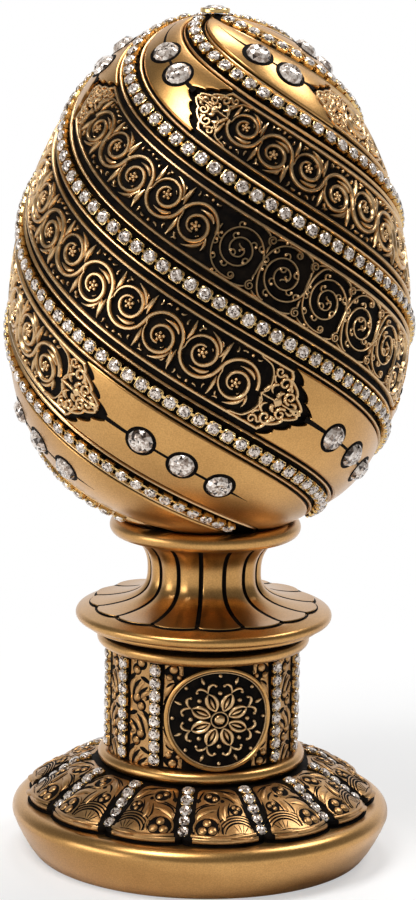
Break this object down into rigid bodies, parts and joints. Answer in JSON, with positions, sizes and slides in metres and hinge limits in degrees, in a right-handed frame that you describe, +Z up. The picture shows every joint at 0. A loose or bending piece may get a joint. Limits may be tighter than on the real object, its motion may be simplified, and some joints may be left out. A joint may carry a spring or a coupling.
{
  "type": "egg sculpture on stand",
  "caption": "Decorative egg with helical relief bands and stone chains, fixed in a fluted cup on a drum pedestal with a lobed round base.",
  "frame": {"origin": "centre of the felt pad's lower face, which the object stands on", "axes": "+Z up along the axis of the stand and egg, -Y towards the viewer of the picture, +X to the viewer's right"},
  "size_m": [0.109, 0.1076, 0.2298],
  "materials": {
    "satin_gold": "cast resin with an antique gold plating, satin",
    "inlaid_gold": "antique gold with black inlay, satin",
    "cup_gold": "bright gold cups that hold clear cut stones",
    "clear_stone": "clear faceted, foiled back",
    "felt": "black felt"
  },
  "bodies": {
    "root": {"base_casting": "satin_gold", "drum_casting": "satin_gold", "drum_stones_left_1": "cup_gold", "drum_stones_left_2": "cup_gold", "drum_stones_left_3": "cup_gold", "drum_stones_left_4": "cup_gold", "drum_stones_left_5": "cup_gold", "drum_stones_right_1": "cup_gold", "drum_stones_right_2": "cup_gold", "drum_stones_right_3": "cup_gold", "drum_stones_right_4": "cup_gold", "drum_stones_right_5": "cup_gold", "egg_casting": "satin_gold", "egg_chain_1": "cup_gold", "egg_chain_2": "cup_gold", "egg_chain_3": "cup_gold", "egg_chain_4": "cup_gold", "egg_chain_5": "cup_gold", "egg_chain_6": "cup_gold", "felt_pad": "felt", "high_stone_1_1": "clear_stone", "high_stone_1_2": "clear_stone", "high_stone_2_1": "clear_stone", "high_stone_2_2": "clear_stone", "high_stone_3_1": "clear_stone", "high_stone_3_2": "clear_stone", "high_stone_4_1": "clear_stone", "high_stone_4_2": "clear_stone", "high_stone_5_1": "clear_stone", "high_stone_5_2": "clear_stone", "high_stone_6_1": "clear_stone", "high_stone_6_2": "clear_stone", "low_stone_1_1": "clear_stone", "low_stone_1_2": "clear_stone", "low_stone_1_3": "clear_stone", "low_stone_2_1": "clear_stone", "low_stone_2_2": "clear_stone", "low_stone_2_3": "clear_stone", "low_stone_3_1": "clear_stone", "low_stone_3_2": "clear_stone", "low_stone_3_3": "clear_stone", "low_stone_4_1": "clear_stone", "low_stone_4_2": "clear_stone", "low_stone_4_3": "clear_stone", "low_stone_5_1": "clear_stone", "low_stone_5_2": "clear_stone", "low_stone_5_3": "clear_stone", "low_stone_6_1": "clear_stone", "low_stone_6_2": "clear_stone", "low_stone_6_3": "clear_stone", "medallion_back": "inlaid_gold", "medallion_front": "inlaid_gold", "pole_bezel": "cup_gold", "pole_stone": "clear_stone", "spool_casting": "satin_gold"}
  },
  "joints": []
}
